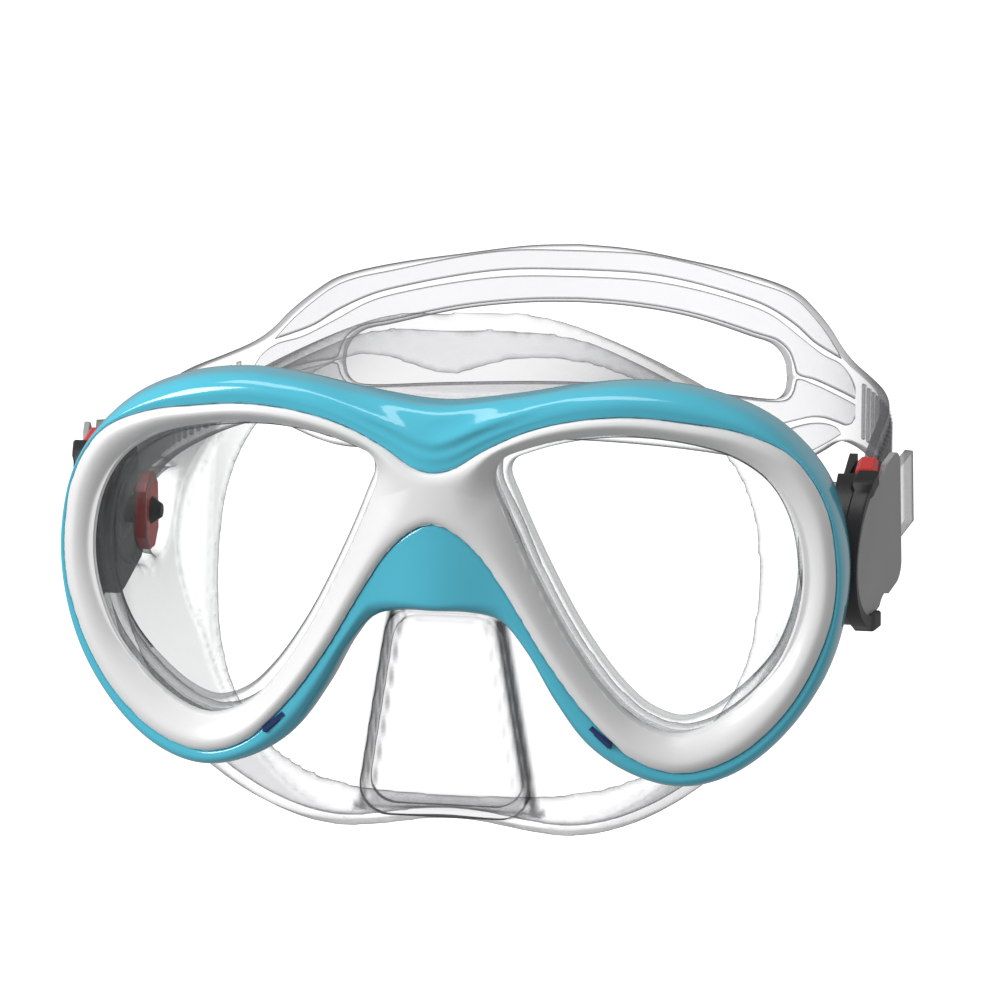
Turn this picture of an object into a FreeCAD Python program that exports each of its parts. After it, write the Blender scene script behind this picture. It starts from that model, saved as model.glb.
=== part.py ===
"""Two-lens diving mask: frame, bezel, lenses, silicone skirt, swivel buckles and split strap.

Frame of the model, in millimetres: the origin lies midway between the wearer's eyes, on the datum
plane of the face seal. +Y points at the wearer, +Z up, and +X to the wearer's left.
"""
import FreeCAD, Part
import math
import os

os.makedirs("parts", exist_ok=True)
V = FreeCAD.Vector
doc = FreeCAD.newDocument("diving_mask")

# ---------------------------------------------------------------- driving dimensions
DIMENSIONS = {
    # front of the mask
    "frame_half_width": 84.8,      # centre to the outermost point of the frame
    "brow_height": 42.4,           # eye line to the top of the brow
    "rim_drop": 43.7,              # eye line to the lowest point of the rims
    "bridge_front": 59.0,          # datum plane forward to the front of the bridge
    "wrap_radius": 278.0,          # the front follows a vertical cylinder of this radius
    "frame_depth": 13.0,
    "bezel_proud": 1.2,            # bezel crest stands in front of the frame
    "bezel_seat": 5.0,             # depth of the bezel's seat in the frame
    "bezel_gap": 0.15,
    # lenses
    "lens_thickness": 4.0,
    "lens_setback": 4.0,           # lens behind the frame's curved front, at the lens's middle
    "lens_toe_out": 1.1,           # degrees, lens turned forward from the curve's tangent
    "lens_overlap": 2.0,           # glass hidden behind the bezel all round
    "lens_gap": 0.15,
    # skirt
    "skirt_wall": 2.0,
    "skirt_inset": 3.5,            # skirt's edge inside the frame's outline
    "gasket_lip": 1.6,
    "seal_lip": 2.2,
    "face_radius": 80.0,           # the face seal follows a cylinder, leaning back
    "face_front": 24.3,
    "face_lean": 12.9,             # degrees
    "temple_back": 8.0,            # rear edge of the skirt at the temples
    "temple_half_width": 76.6,     # skirt at the buckles
    "forehead_height": 50.0,
    "chin_drop": 59.5,
    "nose_half_width": 19.5,
    "nose_setback": 8.6,           # nose pocket behind the front of the bridge
    "nose_top_drop": 8.0,
    "nose_drop": 53.5,
    "nose_corner": 6.5,
    "nose_taper": 0.62,            # width at the top of the pocket, as a share
    # swivel on each temple
    "pivot_back": 9.0,             # pivot axis in front of the datum plane
    "pivot_height": 2.0,
    "pin_radius": 3.0,
    "pin_flange_radius": 4.5,
    "pin_flange": 1.0,
    "pin_nub": 2.2,
    "running_gap": 0.05,
    "boss_radius": 12.2,
    "boss_sunk": 0.9,              # boss's foot inside the widest point of the skirt
    "boss_depth": 4.2,             # lug's collar inside the wall
    "boss_seat_radius": 9.7,       # recess that takes the retainer plate
    "boss_thickness": 3.2,
    "retainer_height": 17.0,
    "retainer_length": 11.0,
    "retainer_thickness": 2.6,
    "retainer_corner": 3.3,
    "washer_thickness": 0.7,
    "washer_radius": 6.5,
    # buckle
    "buckle_tilt": 13.0,           # degrees, rear end up at rest
    "base_wall": 1.8,
    "housing_radius": 17.5,
    "housing_centre": -2.5,        # centre of the round front, from the pivot
    "housing_rear": 15.5,
    "housing_wall": 2.6,
    "housing_corner": 4.0,
    "cover_yaw": 11.0,             # degrees, cover opens out to the rear
    "cover_room": 0.3,             # between the strap at the roller and the cover
    "cover_thickness": 1.4,
    "cover_inset": 1.9,
    "rim_proud": 0.7,
    "window_front": -4.0,
    "window_rear": 8.2,
    "scallop_radius": 4.2,
    "scallop_out": 0.8,            # scallop's centre beyond the housing's edge
    # roller and release lever
    "roller_radius": 1.5,
    "roller_back": 12.0,
    "axle_radius": 0.7,
    "cheek_thickness": 2.4,
    "lever_back": -8.0,
    "lever_pin_radius": 0.7,
    "lever_pin_half": 15.0,
    "lever_pin_lift": 0.9,
    "lever_thickness": 2.1,
    "lever_front": 1.6,            # from the pin forward to the lever's end
    "lever_knee": 0.6,             # from the window's front edge to the knee
    "lever_room": 0.65,            # between the lever's tip and the strap at the roller
    "lever_nose": 1.1,             # from the pin in to the lever's underside
    "lever_play": 0.3,
    "lever_thin": 0.6,
    "lever_flare": 0.9,
    "lever_wing": 12.6,
    "lever_notch": 2.2,
    "tab_reach": 16.2,
    "tab_rear": 3.0,               # from the window's rear edge to the tabs
    "leaf_front": 2.0,
    "leaf_thickness": 0.2,
    "leaf_width": 7.0,
    # strap
    "strap_thickness": 1.9,
    "strap_width": 17.0,
    "strap_clearance": 0.3,
    "strap_straight": 14.0,        # tilted run behind the roller
    "arm_rise": 2.3,               # arm's middle, from there to the start of the round back
    "arm_overlap": 3.0,            # arm runs this far into the ribbed end
    "strap_parallel": 38.4,        # datum plane to the start of the round back
    "strap_top": 41.3,
    "strap_bottom": -6.3,
    "slot_top": 27.5,
    "slot_bottom": 7.6,
    "slot_half_width": 53.4,
    "tail_length": 16.0,
    "tail_splay": 0.02,            # tail opens out this much more than the cover
}

sheet = doc.addObject("Spreadsheet::Sheet", "dims")
for row, (alias, value) in enumerate(DIMENSIONS.items(), start=1):
    sheet.set(f"A{row}", alias)
    sheet.set(f"B{row}", str(value))
    sheet.setAlias(f"B{row}", alias)
doc.recompute()


def size(alias):
    """The value of one cell of the sheet."""
    return float(sheet.get(alias))


NODES = []


def node(thing, label):
    """Name a finished sub-part: its label names its file."""
    thing.Label = label
    NODES.append(thing)
    return thing


def bind(thing, **expressions):
    """Bind properties of a document object to cells of the sheet."""
    for path, expression in expressions.items():
        thing.setExpression(path.replace("__", "."), expression)
    return thing


def shape_node(label, shape):
    """A sub-part whose shape is built with Part's own functions."""
    thing = doc.addObject("Part::Feature", label)
    thing.Shape = shape
    return node(thing, label)


def mirror_node(source, label):
    """The same sub-part on the other side of the centre plane."""
    thing = doc.addObject("Part::Mirroring", label)
    thing.Source = source
    thing.Normal = V(1, 0, 0)
    return node(thing, label)


# ---------------------------------------------------------------- outlines
# The outlines are drawn, x across and z up, for a frame of the pattern size, one half from the
# centre plane outwards. Another frame size stretches them.
PATTERN_HALF_WIDTH = 84.8
PATTERN_BROW = 42.4
PATTERN_RIM = 43.7
PATTERN_LENS_MIDDLE = 44.0         # middle of a lens, from the centre plane

FRAME_OUTLINE = [
    (0, 37.4), (16, 39.2), (30, 41.6), (43, 42.4), (57, 40.0), (70, 33.6), (80, 22.0),
    (84.3, 8.0), (84.4, -6.0), (80.6, -20.5), (72, -33.4), (62, -41.2), (52, -43.7),
    (41.5, -41.2), (32, -35.0), (24.8, -25.2), (19, -14.8), (13.4, -8.2), (7, -6.4), (0, -6.2),
]
BEZEL_OUTLINE = [
    (0, 24.1), (4, 24.9), (11, 29.1), (20, 33.2), (30, 35.6), (41, 36.4), (52, 35.3), (64, 33.0),
    (74, 28.0), (80.6, 18.0), (83.0, 6.0), (82.8, -4.5), (80.4, -13.5), (74.5, -25.0),
    (66, -34.2), (57, -38.9), (50, -39.7), (42, -36.8), (33, -28.2), (24, -16.0), (16, -2.6),
    (9.6, 7.0), (4, 12.0), (0, 13.4),
]
LENS_OPENING = [
    (12.1, 23.0), (13.6, 26.9), (19, 29.4), (28, 31.7), (39, 32.6), (51.5, 31.3), (62, 28.2),
    (70, 22.5), (74.8, 14.0), (76.7, 3.0), (75.5, -7.0), (71.5, -17.0), (64, -25.6),
    (56.5, -30.9), (50, -32.5), (42.5, -29.8), (36, -23.8), (28, -12.4), (20.5, 2.0),
    (14.5, 15.8),
]
# Sections of the skirt: at the back of the frame, and near the face, as x and z.
SKIRT_FRONT = [
    (0, 36.0), (30, 38.0), (48, 37.4), (64, 31.5), (76, 18.0), (80.2, 0.0), (76, -20.0),
    (64, -35.0), (48, -41.5), (24, -43.5), (0, -44.0),
]
SKIRT_FACE = [
    (0, 50.0), (16, 48.9), (32, 43.6), (48, 35.5), (64, 24.0), (74.6, 9.0), (76.6, -6.0),
    (72, -25.0), (56, -45.5), (25, -59.5), (0, -57.0),
]
SKIRT_FOLD = [
    (0, 44.0), (16, 43.0), (31, 38.5), (46, 31.5), (60, 20.0), (69.4, 6.5), (71.5, -7.0),
    (67, -24.0), (52, -42.0), (25, -54.0), (0, -52.0),
]
FACE_OPENING = [
    (0, 37.5), (22, 39.5), (38, 33.0), (50, 22.0), (58.5, 6.0), (60.5, -12.0), (57, -32.0),
    (46, -45.0), (28, -51.0), (12, -51.5), (0, -51.5),
]

WIDTH_STRETCH = size("frame_half_width") / PATTERN_HALF_WIDTH
BROW_STRETCH = size("brow_height") / PATTERN_BROW
RIM_STRETCH = size("rim_drop") / PATTERN_RIM
REACH = 400.0                      # longer than anything that it cuts
GROWN_MARKS = 64                   # points round an outline that is moved outwards
OVERLAP = 0.5                      # pieces that are fused run this far into each other
ROUND_MIDDLE = 1 - math.sqrt(0.5)  # middle of a quarter circle, from its corner, per radius


def front_points(outline):
    """Points of a front outline, stretched to the frame's size."""
    return [(x * WIDTH_STRETCH, z * (BROW_STRETCH if z > 0 else RIM_STRETCH)) for x, z in outline]


def face_points(outline):
    """Points of an outline at the face, stretched to the skirt's size at the face."""
    across = size("temple_half_width") / SKIRT_FACE[6][0]
    above = size("forehead_height") / SKIRT_FACE[0][1]
    below = size("chin_drop") / -SKIRT_FACE[9][1]
    return [(x * across, z * (above if z > 0 else below)) for x, z in outline]


def both_sides(points):
    """A half outline and its mirror image, as one loop."""
    return points + [(-x, z) for x, z in reversed(points[1:-1])]


def smooth_curve(points):
    """A closed smooth curve through the points."""
    curve = Part.BSplineCurve()
    curve.interpolate(points, PeriodicFlag=True)
    return curve


def grown_curve(curve, grow, clockwise):
    """The same closed curve, in the XZ plane, moved outwards by some millimetres."""
    first, length = curve.FirstParameter, curve.LastParameter - curve.FirstParameter
    outward = grow if clockwise else -grow
    marks = []
    for mark in range(GROWN_MARKS):
        at = first + length * mark / GROWN_MARKS
        along = curve.tangent(at)[0]
        marks.append(curve.value(at) + V(-along.z, 0, along.x) * outward)
    return smooth_curve(marks)


def loop(points, depth=lambda x, z: 0.0, grow=0.0):
    """A closed smooth wire through the points, in four lengths; depth gives its y."""
    curve = smooth_curve([V(x, depth(x, z), z) for x, z in points])
    if grow:
        ahead = points[1:] + points[:1]
        turning = sum((x1 - x0) * (z1 + z0) for (x0, z0), (x1, z1) in zip(points, ahead))
        curve = grown_curve(curve, grow, turning > 0)
    first, length = curve.FirstParameter, curve.LastParameter - curve.FirstParameter
    edges = []
    for quarter in range(4):
        piece = curve.copy()
        piece.segment(first + length * quarter / 4, first + length * (quarter + 1) / 4)
        edges.append(piece.toShape())
    return Part.Wire(edges)


def prism(wire, start=-REACH / 2, length=REACH):
    """A wire in the XZ plane, filled and run along +Y."""
    face = Part.Face(wire)
    face.translate(V(0, start, 0))
    return face.extrude(V(0, length, 0))


def upright(radius, centre_x, centre_y):
    """A tall round post along Z."""
    return Part.makeCylinder(radius, REACH, V(centre_x, centre_y, -REACH / 2))


LENS_MIDDLE = PATTERN_LENS_MIDDLE * WIDTH_STRETCH
LENS_TURN = math.asin(LENS_MIDDLE / size("wrap_radius"))
LENS_FALL = size("wrap_radius") * (1 - math.cos(LENS_TURN))
LENS_Y = LENS_FALL + size("lens_setback") - size("bridge_front")
LENS_TOE = math.degrees(LENS_TURN) - size("lens_toe_out")


def wrap(offset):
    """All the space behind the mask's curved front, set back by offset."""
    centre = size("wrap_radius") - size("bridge_front")
    return upright(size("wrap_radius") - offset, 0, centre)


def lens_space(depth, side):
    """All the space behind a lens's front plane, set back by depth."""
    block = Part.makeBox(REACH, REACH, REACH, V(-REACH / 2, depth, -REACH / 2))
    block.rotate(V(0, 0, 0), V(0, 0, 1), side * LENS_TOE)
    block.translate(V(side * LENS_MIDDLE, LENS_Y, 0))
    return block


def lens_outline(side, grow):
    """The outline of one lens opening, grown by some millimetres."""
    return loop([(side * x, z) for x, z in front_points(LENS_OPENING)], grow=grow)


def lens_prism(side, grow):
    return prism(lens_outline(side, grow))


def both_lenses(grow):
    return lens_prism(1, grow).fuse(lens_prism(-1, grow))


SKIRT_FLANGE_START = size("lens_thickness") + size("lens_gap")


# ---------------------------------------------------------------- front of the mask
def make_front_bezel():
    """The bezel round both lenses: an X at the bridge, pockets for the glass behind it."""
    ring = prism(loop(both_sides(front_points(BEZEL_OUTLINE))))
    ring = ring.common(wrap(-size("bezel_proud"))).cut(wrap(size("bezel_seat")))
    ring = ring.cut(both_lenses(0))
    pocket = size("lens_overlap") + size("lens_gap")
    for side in (1, -1):
        ring = ring.cut(lens_prism(side, pocket).common(lens_space(-size("lens_gap"), side)))
    return ring


def make_main_frame():
    """The frame: brow, rims and bridge, with seats for the bezel and for the lens gaskets."""
    body = prism(loop(both_sides(front_points(FRAME_OUTLINE))))
    body = body.common(wrap(0)).cut(wrap(size("frame_depth")))
    bezel_wire = loop(both_sides(front_points(BEZEL_OUTLINE)), grow=size("bezel_gap"))
    seat = prism(bezel_wire).cut(wrap(size("bezel_seat") + size("bezel_gap")))
    body = body.cut(seat)
    pocket = size("lens_overlap") + 2 * size("lens_gap")
    gasket = size("gasket_lip") + size("lens_gap")
    for side in (1, -1):
        glass_room = lens_prism(side, pocket).cut(lens_space(SKIRT_FLANGE_START, side))
        body = body.cut(glass_room).cut(lens_prism(side, gasket))
    return body


def make_lens(side):
    """One flat tempered pane."""
    pane = lens_prism(side, size("lens_overlap"))
    return pane.common(lens_space(0, side)).cut(lens_space(size("lens_thickness"), side))


bezel = shape_node("front_bezel", make_front_bezel())
frame = shape_node("main_frame", make_main_frame())
lens_left = shape_node("lens_left", make_lens(1))
lens_right = shape_node("lens_right", make_lens(-1))


# ---------------------------------------------------------------- places on the temples
PIVOT_Y = -size("pivot_back")
PIVOT_Z = size("pivot_height")
BOSS_FACE = size("temple_half_width") + size("boss_thickness") - size("boss_sunk")
BOSS_SEAT = BOSS_FACE - size("boss_thickness")
BASE_FACE = BOSS_FACE + size("washer_thickness") + 2 * size("running_gap")
BASE_TOP = BASE_FACE + size("base_wall")


# ---------------------------------------------------------------- skirt
def face_space(offset):
    """The space taken by the face: a cylinder that leans back, grown by offset."""
    radius = size("face_radius")
    post = upright(radius + offset, 0, radius)
    post.rotate(V(0, 0, 0), V(1, 0, 0), -size("face_lean"))
    post.translate(V(0, -size("face_front"), 0))
    return post


def leaning_section(points, thinner, back):
    """A section's wire, thinned all round, on a plane that leans back like the face."""
    lean = math.tan(math.radians(size("face_lean")))
    half_width = max(x for x, z in points)
    high, low = max(z for x, z in points), min(z for x, z in points)
    middle = (high + low) / 2
    across = 1 - thinner / half_width
    along = 1 - 2 * thinner / (high - low)
    inner = [(x * across, middle + (z - middle) * along) for x, z in points]
    return loop(both_sides(inner), lambda x, z: back + z * lean)


def skirt_hull(thinner):
    """The skirt's body from the frame to the temples, with its wall thinned from outside."""
    wires = [
        leaning_section(front_points(SKIRT_FRONT), thinner, -size("bridge_front") - thinner),
        leaning_section(face_points(SKIRT_FACE), thinner, -size("face_front")),
        leaning_section(face_points(SKIRT_FOLD), thinner, size("temple_back") - thinner),
    ]
    return Part.makeLoft(wires, True, True)


def nose_wedge(shrink):
    """The nose pocket's outer or inner form, wider below."""
    half = size("nose_half_width") - shrink
    top = -size("nose_top_drop") - shrink
    bottom = -size("nose_drop") + shrink
    top_half = half * size("nose_taper")
    corner = size("nose_corner") - shrink / 2
    points = [V(-half, 0, bottom), V(half, 0, bottom), V(top_half, 0, top), V(-top_half, 0, top)]
    front = size("nose_setback") - size("bridge_front") + shrink
    solid = Part.Face(Part.makePolygon(points + points[:1]))
    solid.translate(V(0, front, 0))
    solid = solid.extrude(V(0, -front, 0))
    long_edges = [e for e in solid.Edges if abs(e.tangentAt(e.FirstParameter).y) > 0.9]
    return solid.makeFillet(corner, long_edges)


def make_skirt():
    """The silicone skirt: flange and gaskets at the lenses, walls, nose pocket and face seal."""
    wall = size("skirt_wall")
    back = size("frame_depth")
    outer = skirt_hull(0).common(wrap(back)).fuse(nose_wedge(0))
    inner = skirt_hull(wall).common(wrap(back + wall)).fuse(nose_wedge(wall))
    body = outer.cut(inner).cut(face_space(0))
    lip = outer.common(face_space(size("seal_lip"))).cut(face_space(0))
    lip = lip.cut(prism(loop(both_sides(face_points(FACE_OPENING)))))
    body = body.fuse(lip)
    for side in (1, -1):
        gasket = lens_prism(side, size("gasket_lip")).common(lens_space(SKIRT_FLANGE_START, side))
        body = body.fuse(gasket.cut(wrap(back + wall)))
        inner_end = V(side * (BOSS_SEAT - size("boss_depth")), PIVOT_Y, PIVOT_Z)
        boss = Part.makeCylinder(size("boss_radius"), size("boss_thickness") + size("boss_depth"),
                                 inner_end, V(side, 0, 0))
        body = body.fuse(boss)
    for side in (1, -1):
        body = body.cut(lens_prism(side, 0).cut(wrap(back + wall)))
        centre = V(side * BOSS_SEAT, PIVOT_Y, PIVOT_Z)
        seat = Part.makeCylinder(size("boss_seat_radius"), 2 * size("boss_depth"), centre,
                                 V(-side, 0, 0))
        bore = Part.makeCylinder(size("pin_radius") + size("running_gap"), REACH, centre,
                                 V(side, 0, 0))
        body = body.cut(seat).cut(bore)
    return body


skirt = shape_node("skirt", make_skirt())


# ---------------------------------------------------------------- swivel through each temple
def cylinder_x(name, radius, start, length):
    """A cylinder along +X on the pivot axis, its size and place bound to the sheet."""
    thing = doc.addObject("Part::Cylinder", name)
    thing.Placement = FreeCAD.Placement(V(start, PIVOT_Y, PIVOT_Z), FreeCAD.Rotation(V(0, 1, 0), 90))
    bind(thing, Radius=radius, Height=length)
    return thing


def combine(kind, name, base, tool):
    """A boolean of two document objects."""
    thing = doc.addObject(kind, name)
    if kind == "Part::Cut":
        thing.Base, thing.Tool = base, tool
    else:
        thing.Shapes = [base, tool]
    return thing


def make_swivel():
    """Pin, retainer plate and washer on the wearer's left."""
    plate_start = BOSS_SEAT - size("retainer_thickness")
    flange_start = BASE_TOP + size("running_gap")
    shank = cylinder_x("pin_shank", "dims.pin_radius", plate_start,
                       "dims.retainer_thickness + dims.boss_thickness + dims.washer_thickness"
                       " + dims.base_wall + 3 * dims.running_gap")
    flange = cylinder_x("pin_head", "dims.pin_flange_radius", flange_start, "dims.pin_flange")
    tip = doc.addObject("Part::Cone", "pin_nub")
    tip.Placement = FreeCAD.Placement(V(plate_start, PIVOT_Y, PIVOT_Z),
                                      FreeCAD.Rotation(V(0, 1, 0), -90))
    bind(tip, Radius1="dims.pin_radius", Radius2="dims.pin_radius / 2", Height="dims.pin_nub")
    headed = combine("Part::MultiFuse", "pin_headed", shank, flange)
    pin = combine("Part::MultiFuse", "pivot_pin", headed, tip)

    slab = doc.addObject("Part::Box", "retainer_slab")
    bind(slab, Length="dims.retainer_thickness", Width="dims.retainer_length",
         Height="dims.retainer_height")
    slab.Placement.Base = V(plate_start, PIVOT_Y - size("retainer_length") / 2,
                            PIVOT_Z - size("retainer_height") / 2)
    doc.recompute()
    corner = size("retainer_corner")
    octagon = doc.addObject("Part::Chamfer", "retainer_octagon")
    octagon.Base = slab
    octagon.Edges = [(i, corner, corner) for i, edge in enumerate(slab.Shape.Edges, start=1)
                     if abs(edge.tangentAt(edge.FirstParameter).x) > 0.9]
    pin_hole = cylinder_x("retainer_bore", "dims.pin_radius", plate_start,
                          "dims.retainer_thickness")
    retainer = combine("Part::Cut", "pivot_retainer", octagon, pin_hole)

    disc = cylinder_x("washer_disc", "dims.washer_radius", BOSS_FACE + size("running_gap"),
                      "dims.washer_thickness")
    bore = cylinder_x("washer_bore", "dims.pin_radius + dims.running_gap", BOSS_FACE,
                      "dims.washer_thickness + 2 * dims.running_gap")
    washer = combine("Part::Cut", "swivel_washer", disc, bore)
    return pin, retainer, washer


for part_name, left in zip(("pivot_pin", "pivot_retainer", "swivel_washer"), make_swivel()):
    node(left, part_name + "_left")
    mirror_node(left, part_name + "_right")


# ---------------------------------------------------------------- buckle, drawn about its pivot
# x is the distance from the centre plane, y runs back from the pivot and z up from it.
STRAP_TO_ROLLER = size("running_gap") + size("roller_radius")
ROLLER_X = BASE_TOP + size("strap_clearance") + size("strap_thickness") + STRAP_TO_ROLLER
STRAP_TURN = STRAP_TO_ROLLER + size("strap_thickness")
COVER_SLOPE = math.tan(math.radians(size("cover_yaw")))
COVER_UNDER = ROLLER_X + STRAP_TURN + size("cover_room") - size("roller_back") * COVER_SLOPE
COVER_FACE = COVER_UNDER + size("cover_thickness") / math.cos(math.radians(size("cover_yaw")))


def buckle_place():
    """From buckle coordinates to the mask's: tilted about the pivot axis."""
    tilt = FreeCAD.Rotation(V(1, 0, 0), size("buckle_tilt"))
    return FreeCAD.Placement(V(0, PIVOT_Y, PIVOT_Z), tilt)


def side_profile(inset):
    """The buckle seen from the side: round in front, square behind; a face in the plane x = 0."""
    radius = size("housing_radius") - inset
    centre = size("housing_centre")
    rear = size("housing_rear") - inset / 2
    corner = size("housing_corner")
    turn = ROUND_MIDDLE * corner
    arc = Part.Arc(V(0, centre, radius), V(0, centre - radius, 0), V(0, centre, -radius)).toShape()
    upper = Part.Arc(V(0, rear, radius - corner),
                     V(0, rear - turn, radius - turn),
                     V(0, rear - corner, radius)).toShape()
    lower = Part.Arc(V(0, rear - corner, -radius),
                     V(0, rear - turn, -radius + turn),
                     V(0, rear, -radius + corner)).toShape()
    straights = [Part.LineSegment(start, end).toShape() for start, end in (
        (V(0, centre, -radius), V(0, rear - corner, -radius)),
        (V(0, rear, -radius + corner), V(0, rear, radius - corner)),
        (V(0, rear - corner, radius), V(0, centre, radius)))]
    edges = [arc, lower, upper] + straights
    return Part.Face(Part.Wire(Part.__sortEdges__(edges)))


def side_prism(inset, start=0.0):
    face = side_profile(inset)
    face.translate(V(start, 0, 0))
    return face.extrude(V(REACH, 0, 0))


def below_slope(height):
    """All the space between the centre plane and the sloping cover, at a height at the pivot."""
    far = REACH / 2
    corners = [V(0, -far, -far), V(height - far * COVER_SLOPE, -far, -far),
               V(height + far * COVER_SLOPE, far, -far), V(0, far, -far)]
    return Part.Face(Part.makePolygon(corners + corners[:1])).extrude(V(0, 0, REACH))


def block(low, high):
    """A box from its two corners."""
    return Part.makeBox(high[0] - low[0], high[1] - low[1], high[2] - low[2], V(*low))


def post_z(radius, x, y, half_height):
    return Part.makeCylinder(radius, 2 * half_height, V(x, y, -half_height))


AXLE_HALF = size("strap_width") / 2 + size("strap_clearance") + size("cheek_thickness") * 0.8
CHEEK_START = size("strap_width") / 2 + size("strap_clearance")
LEVER_PIN_X = BASE_TOP + size("lever_pin_radius") + size("lever_pin_lift")


def scallops():
    """Round notches at the top and bottom edges of the cover."""
    middle = (size("window_front") + size("window_rear")) / 2
    notch = None
    for end in (1, -1):
        post = Part.makeCylinder(size("scallop_radius"), REACH,
                                 V(0, middle, end * (size("housing_radius") + size("scallop_out"))),
                                 V(1, 0, 0))
        notch = post if notch is None else notch.fuse(post)
    return notch


def make_housing():
    base = side_prism(0, BASE_FACE).common(block((BASE_FACE, -REACH, -REACH),
                                                 (BASE_TOP, REACH, REACH)))
    wall = side_prism(0, BASE_TOP - OVERLAP).cut(side_prism(size("housing_wall")))
    wall = wall.common(below_slope(COVER_FACE + size("rim_proud")))
    wall = wall.cut(side_prism(size("cover_inset")).cut(below_slope(COVER_UNDER)))
    behind = block((0, size("window_rear"), -REACH), (REACH, REACH, REACH))
    wall = wall.cut(behind)
    for end in (1, -1):
        low, high = sorted((end * CHEEK_START, end * REACH))
        window = block((BASE_TOP, size("window_front"), low),
                       (COVER_FACE + REACH, size("window_rear"), high))
        wall = wall.cut(window)
    body = base.fuse(wall)
    for end in (1, -1):
        low, high = sorted((end * CHEEK_START, end * (CHEEK_START + size("cheek_thickness"))))
        cheek = block((BASE_TOP - OVERLAP, size("window_rear"), low),
                      (REACH, size("housing_rear"), high)).common(below_slope(COVER_UNDER))
        body = body.fuse(cheek)
    body = body.cut(post_z(size("axle_radius"), ROLLER_X, size("roller_back"), AXLE_HALF))
    body = body.cut(post_z(size("lever_pin_radius"), LEVER_PIN_X, size("lever_back"),
                           size("lever_pin_half")))
    bore = Part.makeCylinder(size("pin_radius") + size("running_gap"), REACH, V(0, 0, 0),
                             V(1, 0, 0))
    bore = bore.common(block((0, -REACH, -REACH), (BASE_TOP + OVERLAP, REACH, REACH)))
    return body.cut(bore)


def make_cover():
    plate = side_prism(size("cover_inset") + size("running_gap"))
    plate = plate.common(below_slope(COVER_FACE)).cut(below_slope(COVER_UNDER))
    return plate.cut(scallops())


def make_lever():
    """The release lever: pawl in front of the roller, finger tabs up and down."""
    front = size("lever_back") - size("lever_front")
    knee = size("window_front") + size("lever_knee")
    tip = size("roller_back") - STRAP_TURN - size("lever_room")
    inner = BASE_TOP + size("pin_flange") + size("running_gap") + size("lever_play")
    outer = inner + size("lever_thickness")
    plan = [V(LEVER_PIN_X - size("lever_nose"), front, 0), V(inner, knee, 0),
            V(inner + size("lever_play"), tip, 0), V(outer + size("lever_flare"), tip, 0),
            V(outer - size("lever_thin"), front, 0)]
    bar = Part.Face(Part.makePolygon(plan + plan[:1])).extrude(V(0, 0, 2 * size("tab_reach")))
    bar.translate(V(0, 0, -size("tab_reach")))
    wing = block((0, front - OVERLAP, -size("lever_wing")), (REACH, knee, size("lever_wing")))
    tabs = block((0, knee, -REACH), (REACH, size("window_rear") - size("tab_rear"), REACH))
    pawl_half = size("strap_width") / 2
    pawl = block((0, knee, -pawl_half), (REACH, tip + OVERLAP, pawl_half))
    bar = bar.common(wing.fuse(tabs).fuse(pawl))
    bar = bar.cut(post_z(size("lever_pin_radius") + size("running_gap"), LEVER_PIN_X,
                         size("lever_back"), REACH / 2))
    notch = size("lever_notch")
    slot = block((0, front - OVERLAP, -notch), (REACH, size("lever_back") + notch, notch))
    return bar.cut(slot)


def make_lever_pin():
    return post_z(size("lever_pin_radius"), LEVER_PIN_X, size("lever_back"), size("lever_pin_half"))


def make_lever_spring():
    """A steel leaf under the cover, which pushes the lever back in; drawn pressed flat."""
    gap = size("running_gap")
    outer = COVER_UNDER - gap
    leaf = below_slope(outer).cut(below_slope(outer - size("leaf_thickness")))
    half = size("leaf_width") / 2
    return leaf.common(block((0, size("lever_back") + size("leaf_front"), -half),
                             (REACH, size("window_rear") - size("tab_rear"), half)))


def make_roller():
    half = size("strap_width") / 2
    roller = post_z(size("roller_radius"), ROLLER_X, size("roller_back"), half)
    bore = post_z(size("axle_radius") + size("running_gap"), ROLLER_X, size("roller_back"),
                  REACH / 2)
    return roller.cut(bore)


def make_axle():
    return post_z(size("axle_radius"), ROLLER_X, size("roller_back"), AXLE_HALF)


BUCKLE_PIECES = {
    "buckle_housing": make_housing,
    "cover_plate": make_cover,
    "release_lever": make_lever,
    "lever_pin": make_lever_pin,
    "lever_spring": make_lever_spring,
    "strap_roller": make_roller,
    "roller_axle": make_axle,
}
for piece_name, make in BUCKLE_PIECES.items():
    left = shape_node(piece_name + "_left", make())
    left.Placement = buckle_place().multiply(left.Placement)
    mirror_node(left, piece_name + "_right")


# ---------------------------------------------------------------- strap
STRAP_RUN = ROLLER_X + STRAP_TO_ROLLER + size("strap_thickness") / 2
STRAP_INNER = 2 * ROLLER_X - STRAP_RUN
BACK_RADIUS = STRAP_INNER
# Edges of the yoke: distance behind the start of the round back as a share of its radius, and
# share of the way from the arm's edge to the yoke's full height.
YOKE_TOP = [(0, 0), (0.285, 0.07), (0.42, 0.11), (0.51, 0.145), (0.56, 0.21), (0.644, 0.46),
            (0.702, 0.64), (0.749, 0.735), (0.848, 0.81), (0.944, 0.894), (0.986, 0.97), (1.1, 1)]
YOKE_BOTTOM = [(0, 0), (0.285, -0.195), (0.458, -0.31), (0.533, -0.34), (0.573, -0.29),
               (0.597, -0.156), (0.655, 0.247), (0.70, 0.58), (0.75, 0.91), (0.84, 1.04), (1.1, 1)]
# Edges of the slot: share of the way back from its end, and share of its half height.
SLOT_TOP = [(0, 0.1), (0.06, 0.3), (0.2, 0.48), (0.36, 0.54), (0.68, 0.77), (0.89, 0.93), (1.3, 1)]
SLOT_BOTTOM = [(0, 0.65), (0.06, 0.83), (0.2, 0.91), (0.68, 0.99), (1.3, 1)]


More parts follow.
